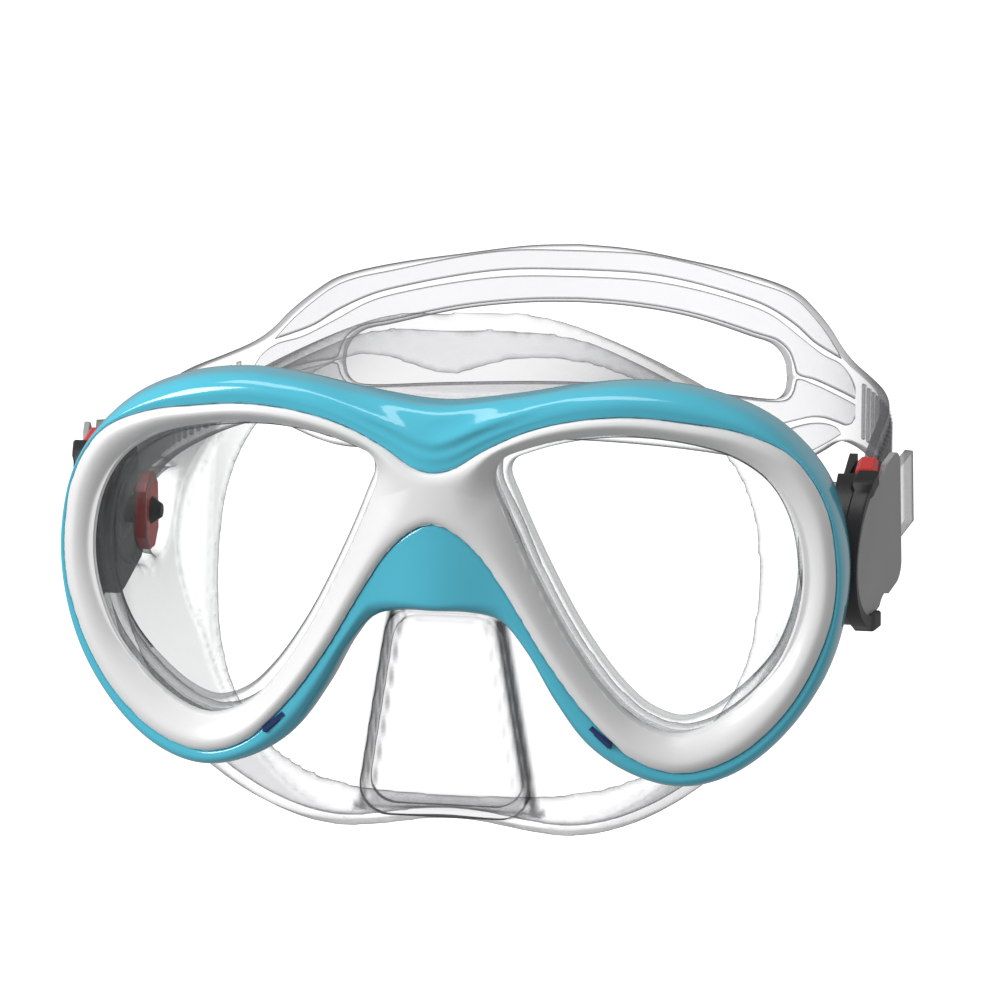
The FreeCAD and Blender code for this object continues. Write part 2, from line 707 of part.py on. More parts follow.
def make_strap_end():
    """The ribbed end: in along the base, round the roller and out again as a tail."""
    half = size("strap_width") / 2
    thick = size("strap_thickness")
    turn_y = size("roller_back")
    turn = STRAP_RUN - ROLLER_X

    def run(start, end):
        (x0, y0), (x1, y1) = start, end
        length = math.hypot(x1 - x0, y1 - y0)
        nx, ny = -(y1 - y0) / length * thick / 2, (x1 - x0) / length * thick / 2
        corners = [V(x0 + nx, y0 + ny, -half), V(x1 + nx, y1 + ny, -half),
                   V(x1 - nx, y1 - ny, -half), V(x0 - nx, y0 - ny, -half)]
        return Part.Face(Part.makePolygon(corners + corners[:1])).extrude(V(0, 0, 2 * half))

    ring = post_z(turn + thick / 2, ROLLER_X, turn_y, half)
    ring = ring.cut(post_z(turn - thick / 2, ROLLER_X, turn_y, half))
    ring = ring.common(block((0, -REACH, -REACH), (REACH, turn_y, REACH)))
    tail_y = turn_y + size("tail_length")
    tail_x = STRAP_RUN + size("tail_length") * (COVER_SLOPE + size("tail_splay"))
    body = ring.fuse(run((STRAP_INNER, turn_y), (STRAP_INNER, turn_y + size("strap_straight"))))
    return body.fuse(run((STRAP_RUN, turn_y), (tail_x, tail_y)))


def strap_profile(start):
    """The arm and yoke seen from the side."""
    tilt = math.radians(size("buckle_tilt"))
    half = size("strap_width") / 2 / math.cos(tilt)
    join = PIVOT_Y + (size("roller_back") + size("strap_straight")) * math.cos(tilt)
    over, under = [], []
    for y in (join - size("arm_overlap"), join):
        middle = PIVOT_Z + (y - PIVOT_Y) * math.tan(tilt)
        over.append(V(0, y, middle + half))
        under.append(V(0, y, middle - half))
    arm = middle + size("arm_rise")
    for behind, share in YOKE_TOP:
        z = arm + half + share * (size("strap_top") - arm - half)
        over.append(V(0, start + behind * BACK_RADIUS, z))
    for behind, share in YOKE_BOTTOM:
        z = arm - half + share * (size("strap_bottom") - arm + half)
        under.append(V(0, start + behind * BACK_RADIUS, z))
    side = over + under[::-1]
    profile = Part.Face(Part.makePolygon(side + side[:1])).extrude(V(2 * REACH, 0, 0))
    profile.translate(V(-REACH, 0, 0))
    return profile


def strap_slot(start):
    """The slot between the two bands, cut through the back."""
    end = start + math.sqrt(BACK_RADIUS ** 2 - size("slot_half_width") ** 2)
    deep = start + BACK_RADIUS - end
    middle = (size("slot_top") + size("slot_bottom")) / 2
    half = (size("slot_top") - size("slot_bottom")) / 2
    over = [V(0, end + behind * deep, middle + share * half) for behind, share in SLOT_TOP]
    under = [V(0, end + behind * deep, middle - share * half) for behind, share in SLOT_BOTTOM]
    side = over + under[::-1]
    slot = Part.Face(Part.makePolygon(side + side[:1])).extrude(V(2 * REACH, 0, 0))
    slot.translate(V(-REACH, 0, 0))
    return slot


def make_strap():
    """Split head strap: two ribbed ends, widening to a yoke, and two bands round the back."""
    thick = size("strap_thickness")
    outer = BACK_RADIUS + thick / 2
    start = size("strap_parallel")
    ring = upright(outer, 0, start).cut(upright(outer - thick, 0, start))
    ring = ring.common(block((-REACH, start, -REACH), (REACH, REACH, REACH)))
    for low in (-outer, outer - thick):
        ring = ring.fuse(block((low, 0, -REACH / 2), (low + thick, start, REACH / 2)))
    body = ring.common(strap_profile(start)).cut(strap_slot(start))
    for side_sign in (1, -1):
        end = make_strap_end()
        end.Placement = buckle_place()
        if side_sign < 0:
            end = end.mirror(V(0, 0, 0), V(1, 0, 0))
        body = body.fuse(end)
    return body.removeSplitter()


strap = shape_node("strap_band", make_strap())

# ---------------------------------------------------------------- check and write
doc.recompute()
for thing in doc.Objects:
    if "Invalid" in thing.State or "Error" in thing.State:
        raise RuntimeError(f"{thing.Name} did not recompute: {thing.State}")
for thing in NODES:
    if thing.Shape.isNull() or not thing.Shape.isValid():
        raise RuntimeError(f"{thing.Label} has no valid shape")
for thing in NODES:
    thing.Shape.exportStep(f"parts/{thing.Label}.step")
    box = thing.Shape.BoundBox
    print(f"{thing.Label}: {len(thing.Shape.Solids)} solid(s), {thing.Shape.Volume:.0f} mm3, "
          f"x {box.XMin:.1f}..{box.XMax:.1f} y {box.YMin:.1f}..{box.YMax:.1f} "
          f"z {box.ZMin:.1f}..{box.ZMax:.1f}")
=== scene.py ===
import math

import bmesh
import bpy
import numpy as np
from mathutils import Matrix, Vector


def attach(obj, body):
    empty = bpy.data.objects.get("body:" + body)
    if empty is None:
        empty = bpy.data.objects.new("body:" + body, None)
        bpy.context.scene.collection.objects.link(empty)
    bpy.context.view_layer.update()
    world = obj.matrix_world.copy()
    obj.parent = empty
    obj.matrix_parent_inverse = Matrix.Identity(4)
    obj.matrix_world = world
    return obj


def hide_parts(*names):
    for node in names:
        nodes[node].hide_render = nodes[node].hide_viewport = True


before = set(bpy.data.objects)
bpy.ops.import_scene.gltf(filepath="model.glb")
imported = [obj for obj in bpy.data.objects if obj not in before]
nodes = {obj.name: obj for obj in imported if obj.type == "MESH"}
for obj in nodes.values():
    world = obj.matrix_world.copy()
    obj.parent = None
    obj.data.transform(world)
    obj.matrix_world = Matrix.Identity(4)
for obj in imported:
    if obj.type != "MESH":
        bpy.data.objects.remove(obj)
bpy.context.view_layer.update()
MM = 0.001

# ------------------------------------------------------------------ outlines, seen from the front
# (x, z) in mm, from the top centre clockwise round the wearer's left half to the bottom centre.
FRAME_OUTLINE = [(0, 37.4), (16, 39.2), (30, 41.6), (43, 42.4), (57, 40.0), (70, 33.6),
                 (80, 22.0), (84.3, 8.0), (84.4, -6.0), (80.6, -20.5), (72, -33.4), (62, -41.2),
                 (52, -43.7), (41.5, -41.2), (32, -35.0), (24.8, -25.2), (19, -14.8),
                 (13.4, -8.2), (7, -6.4), (0, -6.2)]
BEZEL_OUTLINE = [(0, 24.1), (4, 24.9), (11, 29.1), (20, 33.2), (30, 35.6), (41, 36.4),
                 (52, 35.3), (64, 33.0), (74, 28.0), (80.6, 18.0), (83.0, 6.0), (82.8, -4.5),
                 (80.4, -13.5), (74.5, -25.0), (66, -34.2), (57, -38.9), (50, -39.7),
                 (42, -36.8), (33, -28.2), (24, -16.0), (16, -2.6), (9.6, 7.0), (4, 12.0),
                 (0, 13.4)]
# Whole loop on the wearer's left.
LENS_OPENING = [(12.1, 23.0), (13.6, 26.9), (19, 29.4), (28, 31.7), (39, 32.6), (51.5, 31.3),
                (62, 28.2), (70, 22.5), (74.8, 14.0), (76.7, 3.0), (75.5, -7.0), (71.5, -17.0),
                (64, -25.6), (56.5, -30.9), (50, -32.5), (42.5, -29.8), (36, -23.8),
                (28, -12.4), (20.5, 2.0), (14.5, 15.8)]
# Places on the frame's outline and the bezel's outline that face each other.
FACING = [((0, 37.4), (0, 24.1)), ((16, 39.2), (14, 30.6)), ((30, 41.6), (27, 35.1)),
          ((43, 42.4), (41, 36.4)), ((57, 40.0), (54, 35.0)), ((70, 33.6), (66, 32.3)),
          ((80, 22.0), (77.6, 23.5)), ((84.3, 8.0), (82.8, 7.6)), ((84.4, -6.0), (82.6, -5.5)),
          ((80.6, -20.5), (78.0, -18.6)), ((72, -33.4), (69.5, -31.0)),
          ((62, -41.2), (60.0, -37.8)), ((52, -43.7), (50.5, -39.7)),
          ((41.5, -41.2), (42.5, -37.2)), ((32, -35.0), (34.5, -30.1)),
          ((24.8, -25.2), (27.5, -21.0)), ((19, -14.8), (21.5, -12.2)), ((13.4, -8.2), (15, -1.0)),
          ((7, -6.4), (7.5, 9.1)), ((0, -6.2), (0, 13.4))]
# The front is part of an upright cylinder: its radius, and its axis's distance behind the face.
WRAP_RADIUS, WRAP_AXIS = 278.0, 219.0
LENS_MIDDLE, LENS_FRONT, LENS_TOE = 44.0, -51.5, math.tan(math.radians(8.0))
CURVE_STEPS = 24


def smooth_curve(points, closed=False):
    """A centripetal Catmull-Rom curve through the points, as closely spaced points."""
    pts = [np.array(p, float) for p in points]
    if closed:
        chain = [pts[-1]] + pts + [pts[0], pts[1]]
    else:
        chain = [2 * pts[0] - pts[1]] + pts + [2 * pts[-1] - pts[-2]]
    line = []
    for a, b, c, d in zip(chain, chain[1:], chain[2:], chain[3:]):
        ta = 0.0
        tb = ta + np.linalg.norm(b - a) ** 0.5
        tc = tb + np.linalg.norm(c - b) ** 0.5
        td = tc + np.linalg.norm(d - c) ** 0.5
        for t in np.linspace(tb, tc, CURVE_STEPS, endpoint=False):
            p1 = ((tb - t) * a + (t - ta) * b) / (tb - ta)
            p2 = ((tc - t) * b + (t - tb) * c) / (tc - tb)
            p3 = ((td - t) * c + (t - tc) * d) / (td - tc)
            q1 = ((tc - t) * p1 + (t - ta) * p2) / (tc - ta)
            q2 = ((td - t) * p2 + (t - tb) * p3) / (td - tb)
            line.append(((tc - t) * q1 + (t - tb) * q2) / (tc - tb))
    if not closed:
        line.append(pts[-1])
    return np.array(line)


def mirrored_half(half):
    """The curve of a left half outline, which crosses the centre plane level."""
    before = [(-x, z) for x, z in half[2:0:-1]]
    after = [(-x, z) for x, z in half[-2:-4:-1]]
    curve = smooth_curve(before + list(half) + after)
    return curve[2 * CURVE_STEPS:len(curve) - 2 * CURVE_STEPS]


def lengths(curve):
    """Share of the curve's length at each of its points."""
    run = np.concatenate([[0], np.cumsum(np.linalg.norm(np.diff(curve, axis=0), axis=1))])
    return run / run[-1]


def at_share(curve, share):
    """Points at shares of a curve's length."""
    run = lengths(curve)
    return np.array([np.interp(share, run, curve[:, 0]), np.interp(share, run, curve[:, 1])]).T


def share_near(curve, spot):
    """Share of the curve's length at its point nearest to a spot."""
    return lengths(curve)[np.argmin(np.linalg.norm(curve - np.array(spot, float), axis=1))]


def wrapped(x):
    """Depth y of the mask's front at a distance x from the centre plane."""
    return WRAP_AXIS - math.sqrt(WRAP_RADIUS ** 2 - x * x)


def unit(vector):
    return vector / np.linalg.norm(vector)


def bridge_swell(x, z):
    """How far the middle of the mask swells forward over the nose."""
    fade = 1 / (1 + math.exp((z - 27) / 3.0))
    return 2.4 * math.exp(-(x / 12.0) ** 2) * (0.35 + 0.65 * fade)


def lens_face(x):
    """Depth y of the glass's front."""
    return LENS_FRONT + LENS_TOE * (abs(x) - LENS_MIDDLE)


def bump(value, middle, width):
    """A smooth hump: 1 at its middle, fading to 0 on both sides."""
    return math.exp(-((value - middle) / width) ** 2)


# ------------------------------------------------------------------ mesh helpers
def start_line(bm, places, closed=True):
    """A line of new points and edges."""
    verts = [bm.verts.new(p) for p in places]
    pairs = list(zip(verts, verts[1:] + verts[:1])) if closed else list(zip(verts, verts[1:]))
    return verts, [bm.edges.new(pair) for pair in pairs]


def draw_out(bm, line, places):
    """Extrudes a line of edges and puts the new line's points at places, in the same order."""
    verts, edges = line
    made = bmesh.ops.extrude_edge_only(bm, edges=edges)["geom"]
    fresh = {v for v in made if isinstance(v, bmesh.types.BMVert)}
    new_verts = []
    for vert, place in zip(verts, places):
        new = next(e.other_vert(vert) for e in vert.link_edges if e.other_vert(vert) in fresh)
        new.co = place
        new_verts.append(new)
    new_edges = [e for e in made if isinstance(e, bmesh.types.BMEdge)
                 and e.verts[0] in fresh and e.verts[1] in fresh]
    return new_verts, new_edges


def lofted(rings, closed=True):
    """A skin over rings of points, each drawn out of the last."""
    bm = bmesh.new()
    line = start_line(bm, rings[0], closed)
    for ring in rings[1:]:
        line = draw_out(bm, line, ring)
    return bm


def settle(bm, gap=0.002):
    """Joins points that coincide and turns the faces outwards."""
    bmesh.ops.remove_doubles(bm, verts=bm.verts[:], dist=gap)
    bmesh.ops.recalc_face_normals(bm, faces=bm.faces[:])


def mirror_over(bm):
    """Adds the mirror image across the centre plane and joins the two."""
    geometry = bm.verts[:] + bm.edges[:] + bm.faces[:]
    bmesh.ops.mirror(bm, geom=geometry, axis="X", merge_dist=0.01)


def piece(name, bm, finish, body, stands_for=(), sharp=35.0):
    """Makes the object: mesh scaled from mm, finish, body, CAD nodes it stands for."""
    bmesh.ops.scale(bm, vec=(MM, MM, MM), verts=bm.verts[:])
    mesh = bpy.data.meshes.new(name)
    bm.to_mesh(mesh)
    bm.free()
    mesh.shade_smooth()
    mesh.set_sharp_from_angle(angle=math.radians(sharp))
    obj = bpy.data.objects.new(name, mesh)
    bpy.context.scene.collection.objects.link(obj)
    mesh.materials.append(finish)
    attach(obj, body)
    if stands_for:
        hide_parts(*stands_for)
    return obj


# ------------------------------------------------------------------ finishes
class Socket:
    """One socket of a material's nodes. Arithmetic on it adds Math nodes."""

    def __init__(self, tree, socket=None):
        self.tree, self.socket = tree, socket

    def node(self, kind, settings=None, inputs=None, out=0):
        made = self.tree.nodes.new("ShaderNode" + kind)
        for name, value in (settings or {}).items():
            if name == "stops":
                elements = made.color_ramp.elements
                while len(elements) < len(value):
                    elements.new(0.5)
                for element, (position, colour) in zip(elements, value):
                    element.position, element.color = position, colour
            else:
                setattr(made, name, value)
        for name, value in (inputs or {}).items():
            if isinstance(value, Socket):
                self.tree.links.new(value.socket, made.inputs[name])
            else:
                made.inputs[name].default_value = value
        return Socket(self.tree, made.outputs[out] if made.outputs else None)

    def math(self, operation, *values):
        return self.node("Math", {"operation": operation}, dict(enumerate(values)))

    def __add__(self, other):
        return self.math("ADD", self, other)

    __radd__ = __add__

    def __sub__(self, other):
        return self.math("SUBTRACT", self, other)

    def __rsub__(self, other):
        return self.math("SUBTRACT", other, self)

    def __mul__(self, other):
        return self.math("MULTIPLY", self, other)

    __rmul__ = __mul__

    def __pow__(self, other):
        return self.math("POWER", self, other)


def finish_named(name, build):
    """A material whose surface is what build makes in its node tree."""
    material = bpy.data.materials.new(name)
    material.use_nodes = True
    material.node_tree.nodes.clear()
    start = Socket(material.node_tree)
    start.node("OutputMaterial", inputs={"Surface": build(start)})
    return material


def noise(s, scale, detail=2.0):
    place = s.node("TexCoord", out="Object")
    return s.node("TexNoise", inputs={"Vector": place, "Scale": scale, "Detail": detail,
                                      "Roughness": 0.5})


def tinted(s, share, low, high):
    return s.node("Mix", {"data_type": "RGBA"}, {"Factor": share, 6: low, 7: high}, out=2)


def bumped(s, height, strength, distance):
    return s.node("Bump", inputs={"Height": height, "Strength": strength, "Distance": distance})


def moulded(low, high, rough, grain=1400.0, relief=0.05, coat=0.0, metal=0.0, wear=0.12):
    """A moulded finish: colour drifting a little, fine grain, roughness uneven with handling."""

    def build(s):
        drift, fine = noise(s, 45.0), noise(s, grain, 3.0)
        return s.node("BsdfPrincipled", inputs={
            "Base Color": tinted(s, drift, low, high),
            "Roughness": rough - wear / 2 + wear * noise(s, 120.0, 4.0),
            "Metallic": metal, "Coat Weight": coat, "Coat Roughness": 0.04,
            "Normal": bumped(s, fine, relief, 0.0002)})

    return build


def clear_lens(s):
    """Tempered glass: nearly nothing face on, greener and more mirror-like at a slant."""
    facing = s.node("LayerWeight", inputs={"Blend": 0.35}, out="Facing")
    smear = noise(s, 60.0, 3.0)
    glass = s.node("BsdfPrincipled", inputs={
        "Base Color": tinted(s, facing, (0.75, 0.85, 0.82, 1), (0.05, 0.09, 0.09, 1)),
        "Roughness": 0.02 + 0.03 * smear})
    clear = s.node("BsdfTransparent", inputs={"Color": (0.99, 1.0, 0.995, 1)})
    return s.node("MixShader", inputs={0: 0.012 + 0.9 * facing ** 5, 1: clear, 2: glass})


def clear_silicone(gain, power):
    """Clear silicone: faint milkiness face on, painted shade where a wall turns away, glossy skin.
    """

    def build(s):
        facing = s.node("LayerWeight", inputs={"Blend": 0.5}, out="Facing")
        line = s.node("Attribute", {"attribute_name": "line"}, out="Fac")
        cloud = noise(s, 30.0, 3.0)
        # Painted shade: where a wall turns away from view, and where the line attribute is set, the
        # colour goes near black and covers more, standing in for dark refraction.
        shade = s.math("MINIMUM", gain * facing ** power + line ** 0.9, 1.0)
        rubber = s.node("BsdfPrincipled", inputs={
            "Base Color": tinted(s, shade, (0.34, 0.34, 0.35, 1), (0.022, 0.025, 0.028, 1)),
            "Roughness": 0.10 + 0.1 * noise(s, 150.0), "Specular IOR Level": 0.35,
            "Normal": bumped(s, cloud, 0.10, 0.002)})
        clear = s.node("BsdfTransparent", inputs={"Color": (0.972, 0.973, 0.975, 1)})
        cover = s.math("MINIMUM", 0.04 + 0.03 * cloud + 0.9 * shade, 0.97)
        return s.node("MixShader", inputs={0: cover, 1: clear, 2: rubber})

    return build


TURQUOISE = finish_named("turquoise gloss", moulded((0.075, 0.50, 0.66, 1), (0.09, 0.56, 0.73, 1),
                                                    0.16, relief=0.02, coat=0.7, wear=0.06))
WHITE = finish_named("white satin", moulded((0.80, 0.80, 0.80, 1), (0.85, 0.85, 0.85, 1), 0.34,
                                            relief=0.04, coat=0.15))
BLACK = finish_named("black moulding", moulded((0.010, 0.010, 0.011, 1), (0.018, 0.018, 0.019, 1),
                                               0.38, relief=0.12))
GREY = finish_named("grey cover", moulded((0.34, 0.34, 0.34, 1), (0.42, 0.42, 0.42, 1), 0.42,
                                          relief=0.08))
RED = finish_named("red lever", moulded((0.62, 0.012, 0.014, 1), (0.78, 0.02, 0.02, 1), 0.26,
                                        relief=0.05, coat=0.3))
PALE = finish_named("pale washer", moulded((0.55, 0.55, 0.54, 1), (0.65, 0.65, 0.63, 1), 0.3))
STEEL = finish_named("brushed steel", moulded((0.45, 0.45, 0.46, 1), (0.6, 0.6, 0.6, 1), 0.28,
                                              grain=2600.0, metal=1.0))
DARK_BLUE = finish_named("dark blue clip", moulded((0.012, 0.03, 0.12, 1), (0.02, 0.05, 0.18, 1),
                                                   0.4))
GLASS = finish_named("clear lens", clear_lens)
SILICONE = finish_named("clear silicone", clear_silicone(1.1, 2.9))
STRAP_SILICONE = finish_named("clear strap", clear_silicone(1.0, 4.0))

# ------------------------------------------------------------------ turquoise frame
HALF_RUNGS = 150
FRAME_DEPTH = 13.0
EDGE_ROLL, EDGE_ROLL_DEPTH = 5.0, 5.2
GROOVE, GROOVE_DEPTH = 0.7, 0.9
LEDGE = 1.3
frame_half, bezel_half = mirrored_half(FRAME_OUTLINE), mirrored_half(BEZEL_OUTLINE)


def facing_shares(count):
    """Shares along the frame's and the bezel's half outlines that face each other."""
    on_frame = [share_near(frame_half, a) for a, _ in FACING]
    on_bezel = [share_near(bezel_half, b) for _, b in FACING]
    share = np.linspace(0, 1, count + 1)
    other = np.interp(share, on_frame, on_bezel)
    for _ in range(30):
        other[1:-1] = (other[:-2] + 2 * other[1:-1] + other[2:]) / 4
    return share, other


def brow_relief(share, x):
    """Forward relief of the brow's two creases at a share of the way from bezel to outline."""
    spread = abs(x)
    fade = math.exp(-(spread / 27.0) ** 4)
    drift = 0.46 + 0.0125 * spread
    upper = 0.62 * bump(share, drift, 0.10)
    lower = 0.38 * bump(share, 0.24 + 0.003 * spread, 0.09) * math.exp(-(spread / 20.0) ** 2)
    dish = -0.75 * bump(share, drift + 0.26, 0.16)
    return (upper + lower + dish) * fade


def frame_sections():
    """For each rung from bezel to outline, the section's (share across, depth) stations."""
    share, other = facing_shares(HALF_RUNGS)
    outer, inner = at_share(frame_half, share), at_share(bezel_half, other)
    outer[0, 0] = outer[-1, 0] = inner[0, 0] = inner[-1, 0] = 0.0
    rungs = []
    for far, near in zip(outer, inner):
        width = np.linalg.norm(far - near)
        across = (far - near) / width
        roll, groove = min(EDGE_ROLL, 0.66 * width), min(GROOVE, 0.14 * width)
        at_brow = far[1] > 30 and abs(far[0]) < 45
        if far[1] < 0:
            roll -= 2.6 * math.exp(-(far[0] / 14.0) ** 2)
        stations = [(-LEDGE, 2.2), (-0.02, 2.2), (0.0, GROOVE_DEPTH)]
        stations += [(groove * (1 - math.cos(a)), GROOVE_DEPTH * (1 - math.sin(a)))
                     for a in (0.35, 0.8, 1.2)]
        flat = width - roll - groove
        stations += [(groove + flat * t, 0.0) for t in np.linspace(0.02, 1, 17)]
        stations += [(width - roll + roll * math.sin(a), EDGE_ROLL_DEPTH * (1 - math.cos(a)))
                     for a in np.linspace(0, math.pi / 2, 11)[1:]]
        stations += [(width + 0.05, 7.5), (width, 10.5), (width - 0.1, 12.2), (width - 0.5, 12.8),
                     (width - 1.1, FRAME_DEPTH), (width - 3.4, FRAME_DEPTH),
                     (min(width - 3.9, -1.0), 12.6), (-LEDGE, 8.0)]
        line = []
        for distance, depth in stations:
            spot = near + across * distance
            x, z = float(spot[0]), float(spot[1])
            part = min(max(distance / width, 0.0), 1.0)
            lift = bridge_swell(x, z) * (1.0 if depth < 6 else (FRAME_DEPTH - depth) / 7)
            if at_brow and depth < 5.3:
                lift += brow_relief(part, x)
            lift += 0.35 * math.sin(math.pi * part) * (1 - math.exp(-(x / 34.0) ** 4))
            line.append((x, wrapped(x) + depth - lift, z))
        rungs.append(line)
    return rungs


rungs = frame_sections()
whole = rungs + [[(-x, y, z) for x, y, z in line] for line in rungs[-2:0:-1]]
rings = [[line[i] for line in whole] for i in range(len(rungs[0]))]
bm = lofted(rings + [rings[0]])
settle(bm)
piece("frame_shell", bm, TURQUOISE, "mask", ["main_frame"], 60)

# ------------------------------------------------------------------ white bezel
BEZEL_CREST = 1.3
BEZEL_ROUND = 2.4
BEZEL_SLOPE, BEZEL_SLOPE_DEPTH = 8.0, 3.3
opening = smooth_curve(LENS_OPENING, closed=True)
LENS_HUB = np.array([LENS_MIDDLE, 3.0])


def ray_reach(curve, angle):
    """Distance from the lens's hub to a curve in a direction."""
    rel = curve - LENS_HUB
    bearing = np.unwrap(np.arctan2(rel[:, 1], rel[:, 0]))
    reach = np.linalg.norm(rel, axis=1)
    if bearing[-1] < bearing[0]:
        bearing, reach = bearing[::-1], reach[::-1]
    turn = 2 * math.pi
    angle = angle + turn * math.ceil((bearing[0] - angle) / turn)
    return float(np.interp(angle, bearing, reach))


def bezel_rays():
    """Pairs of inner and outer points round one lens; the outer loop runs down the centre plane."""
    rim = at_share(bezel_half, np.linspace(0, 1, 221))
    rise = 0.5 - 0.5 * np.cos(np.linspace(0, math.pi, 27)[1:-1])
    top, bottom = BEZEL_OUTLINE[0][1], BEZEL_OUTLINE[-1][1]
    centre_line = np.array([(0, bottom + (top - bottom) * share) for share in rise])
    inner_loop = np.vstack([opening, opening[:1]])
    rays = []
    for far in np.vstack([rim, centre_line]):
        toward = far - LENS_HUB
        angle = math.atan2(toward[1], toward[0])
        near = LENS_HUB + ray_reach(inner_loop, angle) * toward / np.linalg.norm(toward)
        rays.append((near, np.array([max(far[0], 0.0) if far[0] > 0.02 else 0.0, far[1]])))
    return rays


def distance_to(curve, spot):
    """Distance from a spot to the nearest point of a curve."""
    return float(np.min(np.linalg.norm(curve - spot, axis=1)))


bezel_edge = np.vstack([bezel_half, bezel_half * np.array([-1, 1])])


def bezel_point(spot):
    """A point on the bezel's front, from its distances to its two edges."""
    x, z = float(spot[0]), float(spot[1])
    out = distance_to(bezel_edge, spot)
    into = distance_to(opening, spot)
    slope = min(BEZEL_SLOPE, 0.72 * (out + into))
    depth = 0.0
    if out < BEZEL_ROUND:
        fall = (BEZEL_ROUND - out) / BEZEL_ROUND
        depth += (BEZEL_CREST + 0.3) * (1 - math.sqrt(1 - fall ** 2))
    if into < slope:
        depth += BEZEL_SLOPE_DEPTH * ((slope - into) / slope) ** 1.7
    depth = min(depth, lens_face(x) - wrapped(x) + BEZEL_CREST - 0.4)
    return (x, wrapped(x) - BEZEL_CREST - bridge_swell(x, z) + depth, z)


def on_glass(rays, reach):
    """A ring just inside the glass's front, at a reach outwards from the lens opening."""
    spots = [near + reach * unit(far - near) for near, far in rays]
    return [(float(x), lens_face(x) + 0.2, float(z)) for x, z in spots]


def make_bezel():
    """Rings from the glass, over the inner lip and the crest, to the outer edge and back."""
    rays = bezel_rays()
    rings = [on_glass(rays, -0.5)]
    for back, sink in ((0.45, 0.9), (0.15, 0.3)):
        ring = []
        for near, far in rays:
            spot = near - back * unit(far - near)
            x, y, z = bezel_point(near)
            ring.append((float(spot[0]), min(y + sink, lens_face(x) - 0.05), float(spot[1])))
        rings.append(ring)
    for share in 0.5 - 0.5 * np.cos(np.linspace(0, math.pi, 25)):
        rings.append([bezel_point(near + (far - near) * share) for near, far in rays])
    rings.append([(x, wrapped(x) - bridge_swell(x, z) + 2.0, z) for x, y, z in rings[-1]])
    rings.append(on_glass(rays, 1.5))
    bm = lofted(rings + [rings[0]])
    middle = [f for f in bm.faces if all(abs(v.co.x) < 1e-4 for v in f.verts)]
    bmesh.ops.delete(bm, geom=middle, context="FACES_ONLY")
    mirror_over(bm)
    settle(bm)
    return bm


piece("bezel_ring", make_bezel(), WHITE, "mask", ["front_bezel"], 60)


def copy_of(node_name, gap=0.0002):
    """A joined copy of a CAD node's loose triangles, in mm."""
    bm = bmesh.new()
    bm.from_mesh(nodes[node_name].data)
    bmesh.ops.scale(bm, vec=(1 / MM,) * 3, verts=bm.verts[:])
    bmesh.ops.remove_doubles(bm, verts=bm.verts[:], dist=gap)
    return bm


def moulded_soft(node_name, voxel, passes):
    """A solid's copy as moulded rubber: even small faces, every edge rounded over."""
    bm = copy_of(node_name)
    mesh = bpy.data.meshes.new("raw")
    bm.to_mesh(mesh)
    bm.free()
    raw = bpy.data.objects.new("raw", mesh)
    bpy.context.scene.collection.objects.link(raw)
    remesh = raw.modifiers.new("even", "REMESH")
    remesh.mode, remesh.voxel_size = "VOXEL", voxel
    done = bpy.data.meshes.new_from_object(raw.evaluated_get(bpy.context.evaluated_depsgraph_get()))
    bpy.data.objects.remove(raw)
    bm = bmesh.new()
    bm.from_mesh(done)
    for _ in range(passes):
        bmesh.ops.smooth_vert(bm, verts=bm.verts[:], factor=0.5, use_axis_x=True,
                              use_axis_y=True, use_axis_z=True)
    return bm


SKIRT_VOXEL, SKIRT_PASSES = 0.9, 3
POCKET_TOP, POCKET_TALL, POCKET_FLOOR, POCKET_RIM = -8.0, 45.5, -50.4, -53.2
POCKET_HALF, POCKET_SPREAD, POCKET_WALL = 12.1, 7.4, 3.3


def pocket_shade(x, y, z):
    """Painted shade on the nose pocket's side walls and floor, which are seen edge on through it.
    """
    half = POCKET_HALF + POCKET_SPREAD * (POCKET_TOP - z) / POCKET_TALL
    on_front = y < -33 and (z > -47 or y < -42)
    if not on_front or not POCKET_RIM - 1.0 < z < POCKET_TOP or abs(x) > half + 1.5:
        return 0.0
    side_wall = bump(abs(x), half - 0.6, 0.8) * (0.9 if z > -46 else 0.75)
    inner_line = 0.5 * bump(abs(x), half - POCKET_WALL, 0.35) * (1.0 if x < 0 else 0.35)
    floor = 0.42 * bump(z, POCKET_FLOOR, 2.0) * (1.0 if abs(x) < half - 2 else 0.0)
    rim = 0.7 * bump(z, POCKET_RIM, 0.7)
    return max(side_wall, inner_line, floor, rim)


def paint_edge_shade(bm):
    """Paints shade on the rounded edges, where clear rubber looks dark; the nose pocket's most of
    all.
    """
    painted_dark = bm.verts.layers.float.new("line")
    bm.normal_update()
    for vert in bm.verts:
        around = [e.other_vert(vert).co for e in vert.link_edges]
        swing = abs((sum(around, Vector()) / len(around) - vert.co).dot(vert.normal))
        # Painted shade, stronger where the surface bends more sharply.
        edge = min(1.0, max(0.0, swing - 0.05) * 7.0) * 0.5
        vert[painted_dark] = max(edge, pocket_shade(*vert.co))


bm = moulded_soft("skirt", SKIRT_VOXEL, SKIRT_PASSES)
paint_edge_shade(bm)
piece("skirt_rubber", bm, SILICONE, "mask", ["skirt"], 180)


# Section of a lens's seat: (reach in from the opening's edge, depth behind the glass, painted
# shade).
GASKET_SECTION = ((-1.0, 4.3, 0.0), (1.5, 4.3, 0.0), (2.1, 4.9, 0.5), (2.5, 8.0, 0.2),
                  (1.6, 8.6, 0.0), (-1.0, 8.6, 0.0))


